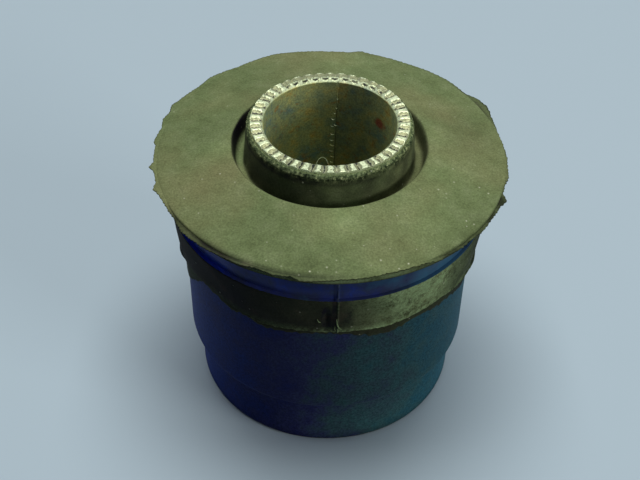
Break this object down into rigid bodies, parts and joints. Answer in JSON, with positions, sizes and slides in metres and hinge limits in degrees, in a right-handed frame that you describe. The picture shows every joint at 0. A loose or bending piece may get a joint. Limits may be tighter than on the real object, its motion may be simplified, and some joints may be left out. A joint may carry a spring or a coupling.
{
  "type": "rubber metal bush",
  "caption": "Flanged rubber bush bonded between a serrated steel inner sleeve and a stepped steel outer sleeve.",
  "frame": {"origin": "on the axis of the bush, in the plane of the outer sleeve's lower edge", "axes": "+Z along the axis, from the sleeve's lower edge towards the flanged end; +X to the right and +Y to the back"},
  "size_m": [0.0712, 0.0717, 0.0655],
  "materials": {
    "bare_steel": "bare steel with a thin oily brown film in the bore, teeth bright on their crests",
    "coated_steel": "smooth dark bonding coat, semi gloss",
    "moulded_rubber": "dark natural rubber with a dusty olive bloom, satin"
  },
  "bodies": {
    "root": {"inner_sleeve": "bare_steel", "outer_sleeve": "coated_steel", "rubber_body": "moulded_rubber"}
  },
  "joints": []
}
